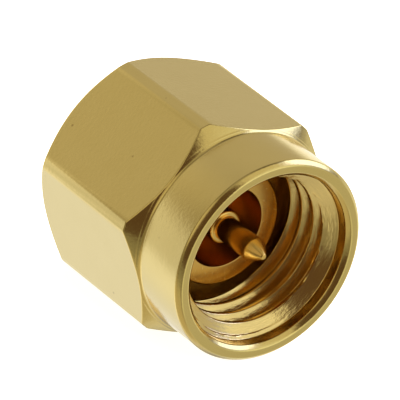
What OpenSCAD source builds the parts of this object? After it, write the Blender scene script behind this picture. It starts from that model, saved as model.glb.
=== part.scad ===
// Shorting dust cap for a 1/4-36 threaded coaxial jack. It lies on one flat of its hex, as it
// comes to rest, with its mouth towards -Y. Each piece is modelled along its own axis, from the
// nut's rear face at z = 0 to the mouth, and is then laid down.

/* [Coupling nut] */
// Width of the hex across its flats, for a 5/16 in spanner
hex_af = 7.94; // [7.9:0.02:8.2]
// Diameter of the bar that the hex was milled from, which takes its corners off
bar_d = 8.96; // [8.6:0.02:9.1]
// Length of the hex, with its chamfers
hex_len = 6.3; // [6.1:0.1:8]
// Slope of the turned chamfer on the hex's rear end, from the end face
rear_chamfer_angle = 42; // [30:1:45]
// Slope of the turned chamfer on the hex's front end
front_chamfer_angle = 39; // [30:1:45]
// Diameter of the flat ring left inside the rear chamfer
rear_face_d = 7.34; // [6.8:0.02:7.6]
// Diameter of the round collar
collar_d = 7.8; // [7.5:0.05:7.85]
// Length of the round collar in front of the hex
collar_len = 2.35; // [1.5:0.05:4]
// Radius that the turning tool leaves between the front chamfer and the collar
root_fillet = 0.2; // [0.1:0.02:0.3]
// Chamfer round the outside of the rim
rim_chamfer = 0.17; // [0.05:0.01:0.25]

/* [Thread] */
// Major diameter of the internal thread, 1/4-36
thread_d = 6.35; // [6.3:0.01:6.4]
// Diameter of the plain counterbore in front of the thread
mouth_d = 6.6; // [6.5:0.02:7]
// Depth of the counterbore's wall from the rim
mouth_depth = 0.56; // [0.4:0.02:0.8]
// Chamfer round the inside of the rim
mouth_chamfer = 0.16; // [0.05:0.01:0.2]
// Slope of the counterbore's floor, from the end face, as the drill leaves it
entry_angle = 30; // [20:1:45]
// Diameter of the run-out groove behind the thread
runout_d = 6.5; // [6.45:0.05:6.7]
// Width of the run-out groove, which also takes the front of the jack
runout_len = 2; // [1.6:0.1:2.3]

/* [Contact body] */
// Diameter of the shank that the nut turns on
shank_d = 5.5; // [5.4:0.02:5.6]
// Radial clearance between the shank and the nut's rear bore
running_clearance = 0.03; // [0.02:0.01:0.08]
// Length of the shank
shank_len = 3.7; // [3.4:0.1:4]
// Distance of the shank's rear end inside the nut's rear face
setback = 0.1; // [0.05:0.05:0.4]
// Distance of the nut's inner step behind the shank's shoulder
step_back = 0.1; // [0.05:0.05:0.3]
// Outside diameter of the contact ring
ring_d = 4.56; // [4.3:0.02:4.6]
// Length of the contact ring in front of the shank, as deep as a jack's counterbore
ring_len = 2.1; // [1.9:0.1:2.3]
// Chamfer on the contact ring's front edge
ring_chamfer = 0.1; // [0.05:0.01:0.2]
// Diameter of the recess round the centre pin
recess_d = 3.06; // [2.6:0.02:3.3]
// Depth of the recess from the contact ring's face
recess_depth = 3; // [2.6:0.1:3.4]

/* [Centre pin] */
// Diameter of the pin's thick shank
pin_shank_d = 1.27; // [1.2:0.01:1.4]
// Diameter of the thin front of the pin
pin_d = 0.91; // [0.85:0.01:0.95]
// Length of the thin front of the pin, with its point
pin_reach = 2.34; // [1.8:0.02:2.6]
// Length of the cone at the point
pin_cone_len = 0.58; // [0.3:0.02:0.8]
// Diameter of the small flat left on the point
pin_tip_d = 0.2; // [0.1:0.02:0.4]
// Chamfer on the front edge of the thick shank
pin_shoulder_chamfer = 0.06; // [0.02:0.01:0.1]
// Depth that the thick shank is pressed into the recess's floor
pin_seat_depth = 1.5; // [0.8:0.1:1.5]
// Radial interference of the press fit
pin_interference = 0.005; // [0:0.005:0.02]

/* [Retaining ring] */
// Thickness of the split ring along the axis
snap_t = 0.4; // [0.3:0.05:0.5]
// Diameter that the ring springs out to
snap_d = 6.1; // [5.9:0.05:6.2]
// Radial width of the ring
snap_w = 0.62; // [0.5:0.02:0.64]
// Distance from the nut's rear face to the middle of the ring
snap_z = 2; // [1.6:0.1:2.6]
// Clearance between the ring and its grooves
snap_clearance = 0.05; // [0.02:0.01:0.1]
// Angle of the ring's split
snap_split = 30; // [15:5:60]

/* [Edges] */
// Chamfer on small inner and rear edges
edge_break = 0.12; // [0.05:0.01:0.2]

/* [Hidden] */
$fn = 96;
past = 1;
gold = [0.85, 0.68, 0.34];
pale_gold = [0.92, 0.78, 0.45];
spring_gold = [0.72, 0.52, 0.26];

nut_len = hex_len + collar_len;
bar_r = bar_d / 2;
collar_r = collar_d / 2;
rear_face_r = rear_face_d / 2;
front_chamfer_len = (bar_r - collar_r) * tan(front_chamfer_angle);
rear_chamfer_len = (bar_r - rear_face_r) * tan(rear_chamfer_angle);
root_reach = root_fillet / tan(45 + front_chamfer_angle / 2);
root_steps = 6;

shank_r = shank_d / 2;
rear_bore_r = shank_r + running_clearance;
shoulder_z = setback + shank_len;
ring_face_z = shoulder_z + ring_len;
step_z = shoulder_z - step_back;
thread_r = thread_d / 2;
thread_z = step_z + runout_len;
mouth_r = mouth_d / 2;
mouth_floor_z = nut_len - mouth_depth;
entry_z = mouth_floor_z - (mouth_r - thread_r) * tan(entry_angle);

ring_r = ring_d / 2;
recess_r = recess_d / 2;
recess_z = ring_face_z - recess_depth;
pin_shank_r = pin_shank_d / 2;
pin_hole_r = pin_shank_r - pin_interference;
pin_rear_z = recess_z - pin_seat_depth;
pin_tip_z = ring_face_z + pin_reach;

snap_r = snap_d / 2;
snap_in_r = snap_r - snap_w;
nut_groove_r = snap_r + snap_clearance;
body_groove_r = snap_in_r - snap_clearance;
groove_half = snap_t / 2 + snap_clearance;

// Turns a piece's axis to -Y and rests the hex on the floor, over the middle of its length
module laid_down() {
    translate([0, nut_len / 2, hex_af / 2]) rotate([90, 0, 0]) children();
}

// Outside of the nut: a hex milled from turned bar, with a root fillet at its front end, and the
// round collar, which runs back inside the hex
module nut_outside() {
    root_z = hex_len + root_reach;
    intersection() {
        cylinder(h = root_z, d = hex_af / cos(30), $fn = 6);
        rotate_extrude() polygon([
            [0, 0],
            [rear_face_r, 0],
            [bar_r, rear_chamfer_len],
            [bar_r, hex_len - front_chamfer_len],
            for (i = [0:root_steps])
                let (a = 270 - front_chamfer_angle - i / root_steps * (90 - front_chamfer_angle))
                [collar_r + root_fillet * (1 + cos(a)), root_z + root_fillet * sin(a)],
            [0, root_z],
        ]);
    }
    rotate_extrude() polygon([
        [0, hex_len / 2],
        [collar_r, hex_len / 2],
        [collar_r, nut_len - rim_chamfer],
        [collar_r - rim_chamfer, nut_len],
        [0, nut_len],
    ]);
}

// Everything that is bored out of the nut, from its rear face to its mouth
module nut_bore() {
    rotate_extrude() polygon([
        [0, -past],
        [rear_bore_r + edge_break, -past],
        [rear_bore_r + edge_break, 0],
        [rear_bore_r, edge_break],
        [rear_bore_r, snap_z - groove_half],
        [nut_groove_r, snap_z - groove_half],
        [nut_groove_r, snap_z + groove_half],
        [rear_bore_r, snap_z + groove_half],
        [rear_bore_r, step_z],
        [runout_d / 2, step_z],
        [runout_d / 2, thread_z],
        [thread_r, thread_z],
        [thread_r, entry_z],
        [mouth_r, mouth_floor_z],
        [mouth_r, nut_len - mouth_chamfer],
        [mouth_r + mouth_chamfer, nut_len],
        [mouth_r + mouth_chamfer, nut_len + past],
        [0, nut_len + past],
    ]);
}

module coupling_nut() {
    color(gold) laid_down() difference() {
        nut_outside();
        nut_bore();
    }
}

// Closed body that shorts the jack: shank, contact ring and the recess round the pin
module contact_body() {
    color(pale_gold) laid_down() difference() {
        rotate_extrude() polygon([
            [0, setback],
            [shank_r - edge_break, setback],
            [shank_r, setback + edge_break],
            [shank_r, snap_z - groove_half],
            [body_groove_r, snap_z - groove_half],
            [body_groove_r, snap_z + groove_half],
            [shank_r, snap_z + groove_half],
            [shank_r, shoulder_z - edge_break],
            [shank_r - edge_break, shoulder_z],
            [ring_r, shoulder_z],
            [ring_r, ring_face_z - ring_chamfer],
            [ring_r - ring_chamfer, ring_face_z],
            [0, ring_face_z],
        ]);
        translate([0, 0, recess_z]) cylinder(h = recess_depth + past, r = recess_r);
        translate([0, 0, pin_rear_z]) cylinder(h = pin_seat_depth + past, r = pin_hole_r);
    }
}

// Centre contact, pressed into the floor of the recess
module centre_pin() {
    color(pale_gold) laid_down() rotate_extrude() polygon([
        [0, pin_rear_z],
        [pin_shank_r, pin_rear_z],
        [pin_shank_r, ring_face_z - pin_shoulder_chamfer],
        [pin_shank_r - pin_shoulder_chamfer, ring_face_z],
        [pin_d / 2, ring_face_z],
        [pin_d / 2, pin_tip_z - pin_cone_len],
        [pin_tip_d / 2, pin_tip_z],
        [0, pin_tip_z],
    ]);
}

// Split spring ring that lies half in the nut's groove and half in the body's
module retaining_ring() {
    color(spring_gold) laid_down() translate([0, 0, snap_z - snap_t / 2])
        rotate([0, 0, snap_split / 2 + 90]) rotate_extrude(angle = 360 - snap_split)
            translate([snap_in_r, 0]) square([snap_w, snap_t]);
}

coupling_nut();
contact_body();
centre_pin();
retaining_ring();
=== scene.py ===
from math import acos, atan2, cos, degrees, pi, radians, sin, tan

import bmesh
import bpy
from mathutils import Matrix, Vector


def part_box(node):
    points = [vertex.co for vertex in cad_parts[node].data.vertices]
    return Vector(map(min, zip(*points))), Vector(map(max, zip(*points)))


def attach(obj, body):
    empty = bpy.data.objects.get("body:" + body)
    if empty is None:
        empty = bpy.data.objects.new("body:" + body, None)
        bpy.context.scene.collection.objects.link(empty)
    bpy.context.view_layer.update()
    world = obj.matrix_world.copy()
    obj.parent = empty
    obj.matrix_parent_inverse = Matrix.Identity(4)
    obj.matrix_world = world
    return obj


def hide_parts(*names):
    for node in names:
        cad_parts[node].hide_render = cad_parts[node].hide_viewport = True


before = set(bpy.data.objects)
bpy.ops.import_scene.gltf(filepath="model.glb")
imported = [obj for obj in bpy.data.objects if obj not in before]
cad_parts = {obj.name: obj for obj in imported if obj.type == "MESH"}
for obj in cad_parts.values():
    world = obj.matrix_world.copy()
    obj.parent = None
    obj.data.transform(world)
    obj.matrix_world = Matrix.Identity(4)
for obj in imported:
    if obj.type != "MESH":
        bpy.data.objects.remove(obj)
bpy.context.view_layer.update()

# Coupling nut
# A hex nut with a round collar, turned from brass bar, bored and threaded right through to
# its run-out groove, then milled to a hex. It is gold plated all over, so the turned and
# milled faces keep a fine satin and the tapped thread is bright. The paler gold inside the
# bore is painted highlight.
MM = 0.001
nut_low, nut_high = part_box("coupling_nut")
HEX_FLAT_R = (nut_high.z - nut_low.z) / MM / 2
BAR_R = (nut_high.x - nut_low.x) / MM / 2
NUT_LEN = (nut_high.y - nut_low.y) / MM
HEX_LEN = 6.3
COLLAR_R = 3.9
REAR_FACE_R = 3.67
REAR_SLOPE = tan(radians(42))
FRONT_CHAMFER = radians(39)
RIM_CHAMFER = 0.17
RIM_EASE = 0.07
ROOT_EASE = 0.125
ROOT_RIDGE = 0.012
EDGE = 0.04
FLAT_EDGE = 0.04
FLAT_BLEND = 0.03
REAR_BORE_R = 2.78
REAR_EDGE = 0.12
SNAP_Z = 2.0
SNAP_GROOVE_R = 3.1
SNAP_GROOVE_HALF = 0.25
STEP_Z = 3.7
RUNOUT_R = 3.25
THREAD_Z = 5.7
MOUTH_R = 3.3
MOUTH_FLOOR_Z = 8.09
MOUTH_CHAMFER = 0.16
ENTRY_SLOPE = tan(radians(30))
ENTRY_Z = 8.04
STEPS = 240

# Thread 1/4-36: a 60 degree form, cut away in front by the cone of the counterbore's floor
PITCH = 25.4 / 36
ROOT_R = 3.175
CREST_R = 2.81
CREST_FLAT = 0.17
GROOVE_Z = 5.35
THREAD_TURNS = 7
MERGE = 0.0004

# Stands each piece's own axis, from the nut's rear face at 0 to the mouth, along -Y
LAID_DOWN = (
    Matrix.Translation((0, nut_high.y, (nut_low.z + nut_high.z) / 2))
    @ Matrix.Rotation(pi / 2, 4, "X")
    @ Matrix.Scale(MM, 4)
)


def eased(outline, segments=4):
    """Rounds the corners of an outline of (radius, height, ease), where ease is how far from
    the corner the rounding starts."""
    points = []
    for i, (r, z, ease) in enumerate(outline):
        corner = Vector((r, z))
        if not ease:
            points.append(corner)
            continue
        before, after = (Vector(outline[j][:2]) for j in (i - 1, i + 1))
        start = corner + (before - corner).normalized() * ease
        end = corner + (after - corner).normalized() * ease
        for step in range(segments + 1):
            t = step / segments
            points.append(start * (1 - t) ** 2 + corner * 2 * t * (1 - t) + end * t ** 2)
    return points


def turned(outline):
    """Turns an outline round the axis and returns the mesh, in mm."""
    bm = bmesh.new()
    verts = [bm.verts.new((point[0], 0, point[1])) for point in outline]
    edges = [bm.edges.new(pair) for pair in zip(verts, verts[1:])]
    bmesh.ops.spin(
        bm, geom=verts + edges, axis=(0, 0, 1), angle=2 * pi, steps=STEPS, use_merge=True
    )
    bmesh.ops.remove_doubles(bm, verts=bm.verts, dist=MERGE)
    return bm


def finished(bm, name, material):
    """Lays the piece down at its real size and makes it an object, smooth between its edges."""
    bmesh.ops.recalc_face_normals(bm, faces=bm.faces)
    bmesh.ops.transform(bm, matrix=LAID_DOWN, verts=bm.verts)
    for face in bm.faces:
        face.smooth = True
    for edge in bm.edges:
        edge.smooth = edge.calc_face_angle(0) < radians(32)
    mesh = bpy.data.meshes.new(name)
    bm.to_mesh(mesh)
    bm.free()
    mesh.materials.append(material)
    piece = bpy.data.objects.new(name, mesh)
    bpy.context.collection.objects.link(piece)
    weighted = piece.modifiers.new("even shading", "WEIGHTED_NORMAL")
    weighted.keep_sharp = True
    return piece


def linear(hex_colour):
    """Turns an sRGB hex colour to linear."""
    values = [int(hex_colour[i:i + 2], 16) / 255 for i in (1, 3, 5)]
    return [v / 12.92 if v <= 0.04045 else ((v + 0.055) / 1.055) ** 2.4 for v in values] + [1]


def add(tree, kind, links=None, **settings):
    """Adds a node with its settings, and links its inputs from other nodes' outputs."""
    node = tree.nodes.new(kind)
    for key, value in settings.items():
        setattr(node, key, value)
    for socket, source in (links or {}).items():
        if isinstance(source, bpy.types.NodeSocket):
            tree.links.new(source, node.inputs[socket])
        else:
            node.inputs[socket].default_value = source
    return node


def gold_plate(name, colour, roughness, grain_mm, grain_depth, line_mm, line_depth, bored=None):
    """Gold plate on turned metal: faint turning lines, a fine satin grain, small changes of
    colour where the plate is thinner, and a few dark pits. Bored is the radius inside which the
    wall is torn here and there along the tool's path, from which height up, how deep, its
    roughness, and a colour painted over the bore's wall: painted shade where it is darker than
    the plate, painted highlight where it is paler."""
    material = bpy.data.materials.new(name)
    material.use_nodes = True
    tree = material.node_tree
    shader = tree.nodes["Principled BSDF"]
    shader.inputs["Metallic"].default_value = 1
    place = add(tree, "ShaderNodeTexCoord").outputs["Object"]
    cloud = add(
        tree, "ShaderNodeTexNoise",
        {"Vector": place, "Scale": 1 / (1.1 * MM), "Detail": 4, "Roughness": 0.6},
    )
    thin, thick, pit = (linear(tone) for tone in colour)
    plate = add(tree, "ShaderNodeMix", {"Factor": cloud.outputs["Fac"]}, data_type="RGBA")
    plate.inputs["A"].default_value = thin
    plate.inputs["B"].default_value = thick
    cell = add(
        tree, "ShaderNodeTexVoronoi",
        {"Vector": place, "Scale": 1 / (1.6 * MM), "Randomness": 1}, feature="F1",
    )
    speck = add(
        tree, "ShaderNodeMapRange",
        {"Value": cell.outputs["Distance"], "From Min": 0.01, "From Max": 0.045,
         "To Min": 0.5, "To Max": 0},
        interpolation_type="SMOOTHSTEP",
    )
    tint = add(tree, "ShaderNodeMix", {"Factor": speck.outputs["Result"]}, data_type="RGBA")
    tree.links.new(plate.outputs["Result"], tint.inputs["A"])
    tint.inputs["B"].default_value = pit
    metal = tint.outputs["Result"]
    grain = add(
        tree, "ShaderNodeTexNoise",
        {"Vector": place, "Scale": 1 / (grain_mm * MM), "Detail": 3, "Roughness": 0.5},
    )
    gloss = add(
        tree, "ShaderNodeMapRange",
        {"Value": grain.outputs["Fac"], "From Min": 0.3, "From Max": 0.7,
         "To Min": roughness * 0.85, "To Max": roughness * 1.15},
    ).outputs["Result"]
    parts = add(tree, "ShaderNodeSeparateXYZ", {"Vector": place}).outputs
    height = add(
        tree, "ShaderNodeMath", {0: parts["Z"], 1: -LAID_DOWN.translation.z}, operation="ADD"
    )
    across = add(
        tree, "ShaderNodeCombineXYZ", {"X": parts["X"], "Y": 0, "Z": height.outputs[0]}
    )
    radius = add(
        tree, "ShaderNodeVectorMath", {0: across.outputs[0]}, operation="LENGTH"
    )
    path = add(
        tree, "ShaderNodeMath", {0: radius.outputs["Value"], 1: parts["Y"]}, operation="SUBTRACT"
    )
    lines = add(
        tree, "ShaderNodeTexNoise",
        {"W": path.outputs[0], "Scale": 1 / (line_mm * MM), "Detail": 1},
        noise_dimensions="1D",
    )
    surface = add(
        tree, "ShaderNodeBump",
        {"Height": lines.outputs["Fac"], "Strength": 1, "Distance": line_depth * MM},
    )
    if bored:
        bore_r, bore_z, depth, bore_roughness, bore_painted_colour = bored
        angle = add(
            tree, "ShaderNodeMath", {0: height.outputs[0], 1: parts["X"]}, operation="ARCTAN2"
        )
        along = add(
            tree, "ShaderNodeMath", {0: angle.outputs[0], 1: bore_r * MM}, operation="MULTIPLY"
        )
        wall = add(
            tree, "ShaderNodeCombineXYZ",
            {"X": along.outputs[0], "Y": parts["Y"], "Z": radius.outputs["Value"]},
        )
        stretched = add(
            tree, "ShaderNodeMapping", {"Vector": wall.outputs[0], "Scale": (0.25, 1, 1)}
        )
        torn = add(
            tree, "ShaderNodeTexNoise",
            {"Vector": stretched.outputs[0], "Scale": 1 / (0.09 * MM), "Detail": 3,
             "Roughness": 0.6},
        )
        above = add(
            tree, "ShaderNodeMath", {0: parts["Y"], 1: nut_high.y - bore_z * MM},
            operation="LESS_THAN",
        )
        inside = add(
            tree, "ShaderNodeMapRange",
            {"Value": radius.outputs["Value"], "From Min": bore_r * MM,
             "From Max": (bore_r + 0.03) * MM, "To Min": above.outputs[0], "To Max": 0},
        )
        patches = add(
            tree, "ShaderNodeTexNoise",
            {"Vector": stretched.outputs[0], "Scale": 1 / (0.45 * MM), "Detail": 2},
        )
        rough = add(
            tree, "ShaderNodeMapRange",
            {"Value": patches.outputs["Fac"], "From Min": 0.45, "From Max": 0.62,
             "To Min": 0.25, "To Max": 1},
            interpolation_type="SMOOTHSTEP",
        )
        strength = add(
            tree, "ShaderNodeMath", {0: inside.outputs["Result"], 1: rough.outputs["Result"]},
            operation="MULTIPLY",
        )
        surface = add(
            tree, "ShaderNodeBump",
            {"Height": torn.outputs["Fac"], "Normal": surface.outputs["Normal"],
             "Strength": strength.outputs[0], "Distance": depth * MM},
        )
        gloss = add(
            tree, "ShaderNodeMapRange",
            {"Value": inside.outputs["Result"], "To Min": gloss, "To Max": bore_roughness},
        ).outputs["Result"]
        # Painted light: inside the bore the plate's colour gives way to the bore's painted colour,
        # darker for painted shade, paler for painted highlight
        painted_bore_light = add(tree, "ShaderNodeMix", {"Factor": inside.outputs["Result"]}, data_type="RGBA")
        tree.links.new(metal, painted_bore_light.inputs["A"])
        painted_bore_light.inputs["B"].default_value = linear(bore_painted_colour)
        metal = painted_bore_light.outputs["Result"]
    satin = add(
        tree, "ShaderNodeBump",
        {"Height": grain.outputs["Fac"], "Normal": surface.outputs["Normal"], "Strength": 1,
         "Distance": grain_depth * MM},
    )
    tree.links.new(metal, shader.inputs["Base Color"])
    tree.links.new(gloss, shader.inputs["Roughness"])
    tree.links.new(satin.outputs["Normal"], shader.inputs["Normal"])
    return material


# Gold plate over turned brass: a warm yellow metal, soft in its reflections
# The paler gold given for the bore is painted highlight: it stands in for the pale light that the
# thread's flanks mirror from the mouth
NUT_GOLD = gold_plate(
    "gold plate on turned brass", ("#f4dc94", "#efd68c", "#8a6a30"), 0.18, 0.12, 0.0032, 0.09,
    0.0005, bored=(3.28, 0, 0.016, 0.17, "#fcdf9a")
)


def entry_r(z):
    """Radius of the cone that leads from the counterbore into the thread."""
    return MOUTH_R - (MOUTH_FLOOR_Z - z) / ENTRY_SLOPE


def even(angle):
    """The nearest of the angles that all turned surfaces have their edges at."""
    return round(angle / (2 * pi) * STEPS) * 2 * pi / STEPS


def cut_off(line, limit, along):
    """Ends a line of points that climbs away from the axis where it reaches the radius limit,
    and rounds it off into the direction along. The points beyond gather at the end."""
    kept = []
    for start, end in zip(line, line[1:]):
        kept.append(start)
        if end.x >= limit:
            break
    corner = start.lerp(end, (limit - start.x) / (end.x - start.x))
    while (kept[-1] - corner).length < FLAT_EDGE:
        kept.pop()
    start = corner + (kept[-1] - corner).normalized() * FLAT_EDGE
    rounded = [
        start * (1 - t) ** 2 + corner * 2 * t * (1 - t) + (corner + along * FLAT_EDGE) * t ** 2
        for t in (0, 0.25, 0.5, 0.75, 1)
    ]
    return kept + [start] * (len(line) - len(kept)) + rounded


def nut_shell():
    """The nut's outside, mouth and rear bore, as an outline for each angle round the axis that
    ends where the hex does."""
    ridge_r = COLLAR_R + ROOT_EASE * cos(FRONT_CHAMFER)
    ridge_z = HEX_LEN - ROOT_EASE * sin(FRONT_CHAMFER)
    bar_top = BAR_R + EDGE
    mouth = eased([
        (entry_r(ENTRY_Z), ENTRY_Z, 0),
        (MOUTH_R, MOUTH_FLOOR_Z, EDGE),
        (MOUTH_R, NUT_LEN - MOUTH_CHAMFER, EDGE),
        (MOUTH_R + MOUTH_CHAMFER, NUT_LEN, RIM_EASE),
        (COLLAR_R - RIM_CHAMFER, NUT_LEN, RIM_EASE),
        (COLLAR_R, NUT_LEN - RIM_CHAMFER, RIM_EASE),
        (COLLAR_R, HEX_LEN + 2 * ROOT_EASE, 0),
    ])
    front = eased([
        (COLLAR_R, HEX_LEN + ROOT_EASE, 0),
        (COLLAR_R, HEX_LEN, ROOT_EASE - EDGE / 2),
        (ridge_r + ROOT_RIDGE * sin(FRONT_CHAMFER), ridge_z + ROOT_RIDGE * cos(FRONT_CHAMFER), EDGE / 3),
        (ridge_r + EDGE, ridge_z - EDGE * tan(FRONT_CHAMFER), EDGE / 2),
        (bar_top, HEX_LEN - (bar_top - COLLAR_R) * tan(FRONT_CHAMFER), 0),
    ])
    rear = eased([
        (REAR_BORE_R + REAR_EDGE + EDGE, 0, 0),
        (REAR_FACE_R, 0, EDGE),
        (bar_top, (bar_top - REAR_FACE_R) * REAR_SLOPE, 0),
    ])
    bore = eased([
        (REAR_BORE_R + REAR_EDGE + EDGE, 0, 0),
        (REAR_BORE_R + REAR_EDGE, 0, EDGE / 2),
        (REAR_BORE_R, REAR_EDGE, EDGE / 2),
        (REAR_BORE_R, SNAP_Z - SNAP_GROOVE_HALF, 0),
        (SNAP_GROOVE_R, SNAP_Z - SNAP_GROOVE_HALF, 0),
        (SNAP_GROOVE_R, SNAP_Z + SNAP_GROOVE_HALF, 0),
        (REAR_BORE_R, SNAP_Z + SNAP_GROOVE_HALF, 0),
        (REAR_BORE_R, STEP_Z, 0),
        (RUNOUT_R, STEP_Z, 0),
        (RUNOUT_R, THREAD_Z, 0),
    ])[1:]
    corner = degrees(acos(HEX_FLAT_R / BAR_R))
    half = [1.5 * step for step in range(1, 18)]
    half += [corner + step for step in (-0.8, -0.5, -0.25, 0, 0.25, 0.5, 0.8)]
    side = [-angle for angle in reversed(half)] + [0] + half + [30]
    bm = bmesh.new()
    columns = []
    for number in range(6):
        for offset in side:
            flat_r = HEX_FLAT_R / cos(radians(offset))
            near = max(0, FLAT_BLEND - abs(flat_r - BAR_R))
            limit = min(flat_r, BAR_R) - near ** 2 / (4 * FLAT_BLEND)
            hex_line = (
                cut_off(front, limit, Vector((0, -1)))
                + cut_off(rear, limit, Vector((0, 1)))[::-1]
            )
            angle = radians(30 + 60 * number + offset)
            columns.append([
                bm.verts.new((r * cos(at), r * sin(at), z))
                for line, at in ((mouth, even(angle)), (hex_line, angle), (bore, even(angle)))
                for r, z in line
            ])
    for left, right in zip(columns, columns[1:] + columns[:1]):
        for a, b, c, d in zip(left, left[1:], right[1:], right):
            bm.faces.new((a, b, c, d))
    bmesh.ops.remove_doubles(bm, verts=bm.verts, dist=MERGE)
    return bm


def thread_wall():
    """The tapped wall as one strip, a pitch wide, wound up the bore and cut off at both ends."""
    flank = (ROOT_R - CREST_R) * tan(radians(30))
    root_half = (PITCH - CREST_FLAT) / 2 - flank
    groove = eased([
        (ROOT_R, 0, 0),
        (ROOT_R, root_half, 0.03),
        (CREST_R, root_half + flank, 0.035),
        (CREST_R, PITCH / 2, 0),
    ], segments=3)
    half = []
    for a, b in zip(groove, groove[1:]):
        parts = max(1, round((b - a).length / 0.045))
        half += [a.lerp(b, i / parts) for i in range(parts)]
    other_half = [Vector((p[0], PITCH - p[1])) for p in reversed(half)]
    outline = half + [groove[-1]] + other_half
    bm = bmesh.new()
    start = GROOVE_Z - 2 * PITCH
    verts = [bm.verts.new((r, 0, start + z)) for r, z in outline]
    edges = [bm.edges.new(pair) for pair in zip(verts, verts[1:])]
    bmesh.ops.spin(
        bm, geom=verts + edges, axis=(0, 0, 1), dvec=(0, 0, PITCH / STEPS), angle=2 * pi,
        steps=STEPS,
    )
    turn = bm.verts[:] + bm.edges[:] + bm.faces[:]
    for above in range(1, THREAD_TURNS):
        copy = bmesh.ops.duplicate(bm, geom=turn)["geom"]
        bmesh.ops.translate(
            bm, verts=[item for item in copy if isinstance(item, bmesh.types.BMVert)],
            vec=(0, 0, PITCH * above),
        )
    bmesh.ops.remove_doubles(bm, verts=bm.verts, dist=MERGE)
    for vert in bm.verts:
        radius = vert.co.xy.length
        if radius < entry_r(vert.co.z):
            vert.co.xy *= entry_r(vert.co.z) / radius
    for height, upward in ((THREAD_Z, False), (ENTRY_Z, True)):
        bmesh.ops.bisect_plane(
            bm, geom=bm.verts[:] + bm.edges[:] + bm.faces[:], dist=MERGE / 4,
            plane_co=(0, 0, height), plane_no=(0, 0, 1), clear_outer=upward,
            clear_inner=not upward,
        )
    for vert in bm.verts:
        if vert.is_boundary and abs(vert.co.z - ENTRY_Z) < MERGE:
            angle = even(atan2(vert.co.y, vert.co.x))
            vert.co.xy = Vector((cos(angle), sin(angle))) * entry_r(ENTRY_Z)
    return bm


def joined(*meshes):
    """Puts the meshes' faces into the first of them."""
    whole = meshes[0]
    for other in meshes[1:]:
        held = bpy.data.meshes.new("held")
        other.to_mesh(held)
        other.free()
        whole.from_mesh(held)
        bpy.data.meshes.remove(held)
    return whole


nut_bm = joined(nut_shell(), thread_wall())
bmesh.ops.remove_doubles(nut_bm, verts=nut_bm.verts, dist=MERGE)
bmesh.ops.bridge_loops(nut_bm, edges=[edge for edge in nut_bm.edges if edge.is_boundary])
nut = finished(nut_bm, "nut_with_thread", NUT_GOLD)
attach(nut, "nut")
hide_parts("coupling_nut")

# Contact body
# The closed body that the nut turns on: a shank, then the thin contact ring round a deep
# recess. It is turned from brass and gold plated, and its front face is the jack's stop.
SETBACK = 0.1
SHANK_R = 2.75
SHOULDER_Z = 3.8
RING_R = 2.28
RING_FACE_Z = 5.9
RING_CHAMFER = 0.1
BODY_GROOVE_R = 2.38
RECESS_R = 1.53
RECESS_Z = 2.9
PIN_SHANK_R = 0.635
PIN_REAR_Z = 1.4

# The darker, more orange gold given for the recess is painted shade, for the dim light deep inside it
BODY_GOLD = gold_plate(
    "gold plate on bored brass", ("#fbd27e", "#f4c870", "#8a6a30"), 0.24, 0.05, 0.0002, 0.08,
    0.0004, bored=(1.54, 1, 0.001, 0.24, "#e6b86e")
)
body = finished(turned(eased([
    (0, SETBACK, 0),
    (SHANK_R - REAR_EDGE, SETBACK, EDGE),
    (SHANK_R, SETBACK + REAR_EDGE, EDGE),
    (SHANK_R, SNAP_Z - SNAP_GROOVE_HALF, 0),
    (BODY_GROOVE_R, SNAP_Z - SNAP_GROOVE_HALF, 0),
    (BODY_GROOVE_R, SNAP_Z + SNAP_GROOVE_HALF, 0),
    (SHANK_R, SNAP_Z + SNAP_GROOVE_HALF, 0),
    (SHANK_R, SHOULDER_Z - REAR_EDGE, EDGE),
    (SHANK_R - REAR_EDGE, SHOULDER_Z, EDGE),
    (RING_R, SHOULDER_Z, 0.05),
    (RING_R, RING_FACE_Z - RING_CHAMFER, 0.03),
    (RING_R - RING_CHAMFER, RING_FACE_Z, 0.03),
    (RECESS_R, RING_FACE_Z, 0.03),
    (RECESS_R, RECESS_Z, 0.1),
    (PIN_SHANK_R, RECESS_Z, 0),
    (PIN_SHANK_R, PIN_REAR_Z, 0),
    (0, PIN_REAR_Z, 0),
])), "body_with_contact_ring", BODY_GOLD)
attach(body, "plug")
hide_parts("contact_body")

# Centre pin
# The contact that enters the jack's socket: a thick shank pressed into the recess's floor and
# a thinner front with a turned point. Its copper alloy is plated bright.
PIN_R = 0.455
PIN_TIP_Z = 8.24
PIN_CONE_LEN = 0.58
PIN_TIP_R = 0.1

PIN_GOLD = gold_plate(
    "gold plate on a turned contact", ("#fbd482", "#f5ca74", "#8a6a30"), 0.2, 0.05, 0.0003,
    0.05, 0.0004
)
pin = finished(turned(eased([
    (0, PIN_REAR_Z, 0),
    (PIN_SHANK_R, PIN_REAR_Z, 0),
    (PIN_SHANK_R, RING_FACE_Z, 0.09),
    (PIN_R, RING_FACE_Z, 0.02),
    (PIN_R, PIN_TIP_Z - PIN_CONE_LEN, 0.03),
    (PIN_TIP_R, PIN_TIP_Z, 0.05),
    (0, PIN_TIP_Z, 0),
])), "pin_with_point", PIN_GOLD)
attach(pin, "plug")
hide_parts("centre_pin")

# Retaining ring
# A split ring of spring alloy that snaps half into the nut and half into the body. It is
# hidden in the closed cap, so the modelled ring stays and only takes its metal.
SPRING = gold_plate(
    "bare spring copper alloy", ("#c99a5c", "#b98a50", "#6b4a28"), 0.3, 0.05, 0.0004, 0.1,
    0.0004
)
snap_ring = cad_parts["retaining_ring"]
snap_ring.data.materials.clear()
snap_ring.data.materials.append(SPRING)

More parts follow.
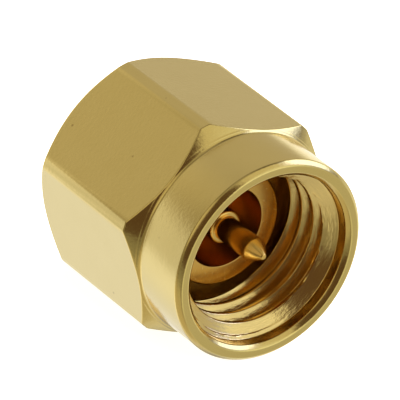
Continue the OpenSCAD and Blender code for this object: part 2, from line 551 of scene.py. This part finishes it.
# Floor
# A matt white sheet on a light table, lit a little from below, so that shadows stay faint. It is
# far wider than the cap, so its edge never shows.
bpy.ops.mesh.primitive_plane_add(size=4, location=(0, 0, -0.00001))
floor = bpy.context.object
floor.name = "floor"
sheet = bpy.data.materials.new("matt white sheet")
sheet.use_nodes = True
sheet.node_tree.nodes["Principled BSDF"].inputs["Base Color"].default_value = linear("#f8f8f8")
sheet.node_tree.nodes["Principled BSDF"].inputs["Roughness"].default_value = 0.9
sheet.node_tree.nodes["Principled BSDF"].inputs["Emission Color"].default_value = (1, 1, 1, 1)
sheet.node_tree.nodes["Principled BSDF"].inputs["Emission Strength"].default_value = 0.88
floor.data.materials.append(sheet)
floor.visible_glossy = False

# Camera
# It looks down at the cap from the front left, from far enough off for a macro lens.
CAMERA_AIM = Vector((-0.01, 0.13, 4.22)) * MM
CAMERA_HEADING = radians(48.08)
CAMERA_DOWN = radians(19.9)
CAMERA_ROLL = radians(16.96)
CAMERA_DISTANCE = 228.75 * MM
CAMERA_LENS = 585
CAMERA_SENSOR = 36
ahead = Vector((
    cos(CAMERA_DOWN) * cos(CAMERA_HEADING), cos(CAMERA_DOWN) * sin(CAMERA_HEADING), -sin(CAMERA_DOWN)
))
camera_data = bpy.data.cameras.new("camera")
camera_data.sensor_width = CAMERA_SENSOR
camera_data.lens = CAMERA_LENS
camera_data.clip_start = 0.01
camera_data.clip_end = 10
camera = bpy.data.objects.new("camera", camera_data)
bpy.context.collection.objects.link(camera)
camera.matrix_world = (
    Matrix.Translation(CAMERA_AIM - ahead * CAMERA_DISTANCE)
    @ ahead.to_track_quat("-Z", "Y").to_matrix().to_4x4()
    @ Matrix.Rotation(CAMERA_ROLL, 4, "Z")
)
bpy.context.scene.camera = camera

# Light
# White sheets round the cap, the dark room where the camera stands, and a broad soft lamp
# overhead that only lights the floor.
scene = bpy.context.scene
scene.view_settings.view_transform = "Standard"
world = bpy.data.worlds.new("studio")
scene.world = world
world.use_nodes = True
tree = world.node_tree
tree.nodes.clear()
direction = add(tree, "ShaderNodeTexCoord").outputs["Generated"]
# Each one is added to the light or takes its place, and has its heading and height, the angles
# from its middle to where it starts to fade and to its edge, and its light
SURROUNDINGS = (
    ("ADD", 350, 43, 16, 26, (1.49, 1.70, 1.98)),
    ("ADD", 284, 41, 22, 41, (0.55, 0.52, 0.37)),
    ("ADD", 298, 24, 14, 32, (0.14, 0.19, 0.24)),
    ("ADD", 105, -22, 36, 48, (0.38, 0.41, 0.46)),
    ("ADD", 320, -24, 42, 55, (0.44, 0.44, 0.35)),
    ("ADD", 177, -72, 18, 47, (0.48, 0.43, 0.28)),
    ("ADD", 22, -15, 32, 43, (0.40, 0.41, 0.37)),
    ("ADD", 70, 18, 28, 81, (0.42, 0.40, 0.33)),
    ("ADD", 64, -39, 48, 59, (0.29, 0.32, 0.41)),
    ("ADD", 342, 41, 16, 26, (0.00, 0.01, 0.56)),
    ("ADD", 247, -8, 40, 51, (0.19, 0.19, 0.13)),
    ("ADD", 152, -1, 26, 67, (0.19, 0.17, 0.10)),
    ("MIX", 234, 11, 34, 40, (0.10, 0.06, 0.03)),
    ("ADD", 192, 20, 20, 32, (0.36, 0.33, 0.22)),
    ("ADD", 205, 66, 10, 26, (0.30, 0.28, 0.20)),
)
shade = add(tree, "ShaderNodeRGB").outputs["Color"]
shade.default_value = (0.060, 0.042, 0.022, 1)
for mode, heading, height, full, edge, light in SURROUNDINGS:
    axis = Vector((
        cos(radians(height)) * cos(radians(heading)),
        cos(radians(height)) * sin(radians(heading)),
        sin(radians(height)),
    ))
    along = add(
        tree, "ShaderNodeVectorMath", {0: direction, 1: axis}, operation="DOT_PRODUCT"
    )
    share = add(
        tree, "ShaderNodeMapRange",
        {"Value": along.outputs["Value"], "From Min": cos(radians(edge)),
         "From Max": cos(radians(full))},
        interpolation_type="SMOOTHSTEP",
    )
    mixed = add(
        tree, "ShaderNodeMix", {"Factor": share.outputs["Result"]}, data_type="RGBA",
        blend_type=mode,
    )
    tree.links.new(shade, mixed.inputs["A"])
    mixed.inputs["B"].default_value = (*light, 1)
    shade = mixed.outputs["Result"]
background = add(tree, "ShaderNodeBackground", {"Color": shade, "Strength": 1})
add(tree, "ShaderNodeOutputWorld", {"Surface": background.outputs["Background"]})

lamp_data = bpy.data.lights.new("overhead", "AREA")
lamp_data.shape = "DISK"
lamp_data.size = 0.25
lamp_data.energy = 0.6
lamp = bpy.data.objects.new("overhead", lamp_data)
lamp.location = (0.02, 0.02, 0.25)
lamp.visible_glossy = False
bpy.context.collection.objects.link(lamp)
